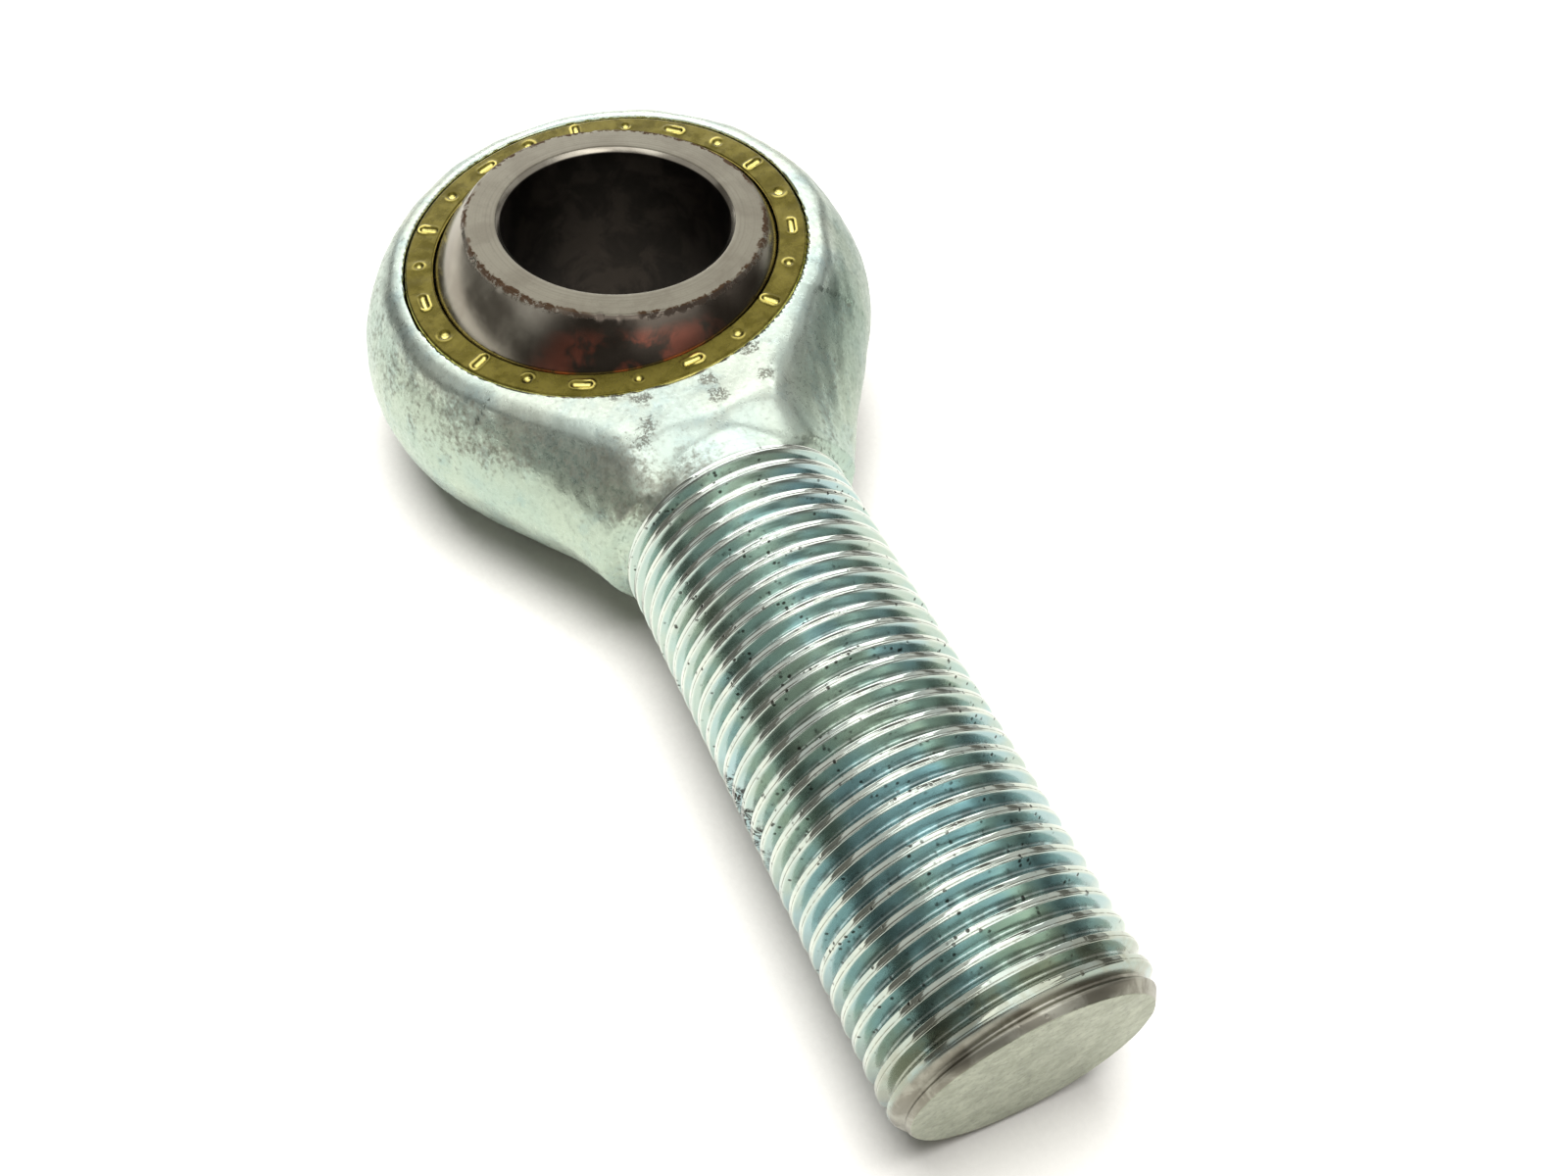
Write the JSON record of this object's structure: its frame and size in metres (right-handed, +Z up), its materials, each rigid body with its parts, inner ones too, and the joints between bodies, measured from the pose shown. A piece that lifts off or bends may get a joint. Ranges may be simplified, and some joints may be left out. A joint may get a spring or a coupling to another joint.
{
  "type": "rod end bearing",
  "caption": "Male rod end: a forged eye with a brass race and a swivelling steel ball, on a short shank with a fine right-hand thread.",
  "frame": {"origin": "the centre of the ball, where the swivel's axes cross", "axes": "+Z up and along the ball's bore; +X towards the threaded end of the shank; +Y across the head, towards its raised side"},
  "size_m": [0.0955, 0.0448, 0.0222],
  "materials": {
    "zinc_plated_steel": "satin zinc plate with a pale green-blue cast over a forged skin",
    "race_brass": "dull olive-gold brass",
    "ball_steel": "polished hardened steel with satin faces and light rust at the edges"
  },
  "bodies": {
    "housing": {"rod_end_body": "zinc_plated_steel", "race": "race_brass"},
    "ball": {"ball": "ball_steel"}
  },
  "joints": [
    {"name": "ball_swivel", "type": "hinge", "parent": "housing", "child": "ball", "pos_m": [0, 0, 0], "axis": [0.9998, 0, -0.0222], "range_deg": [-6.5, 21.5]}
  ]
}
